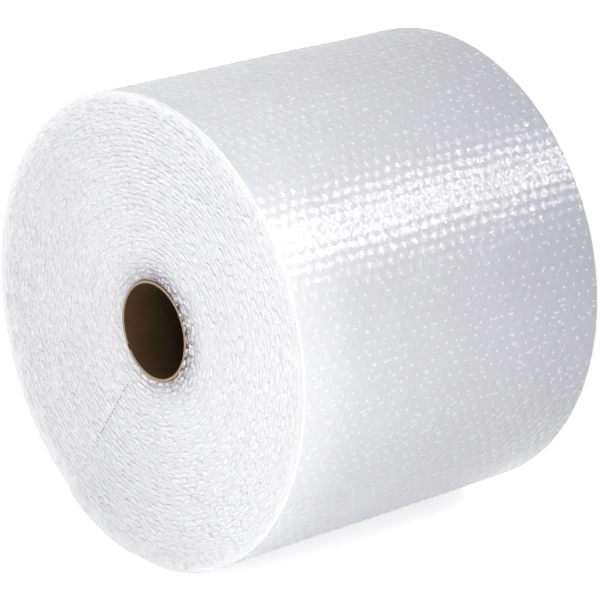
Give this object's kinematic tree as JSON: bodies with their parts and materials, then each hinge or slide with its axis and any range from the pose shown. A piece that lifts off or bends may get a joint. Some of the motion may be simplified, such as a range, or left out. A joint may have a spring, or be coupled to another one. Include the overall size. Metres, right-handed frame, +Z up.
{
  "type": "bubble wrap roll",
  "caption": "Wide roll of clear small-bubble cushioning wound on an open paperboard core, lying on its side on a slight flat.",
  "frame": {"origin": "middle of the core's bore, halfway along the roll", "axes": "+X along the core's bore towards the unworn end, +Z up, with the roll lying on its side on its flat"},
  "size_m": [0.305, 0.3859, 0.3849],
  "materials": {
    "film": "gloss",
    "paperboard": "matte"
  },
  "bodies": {
    "root": {"bubble_wrap": "film", "paper_core": "paperboard"}
  },
  "joints": []
}
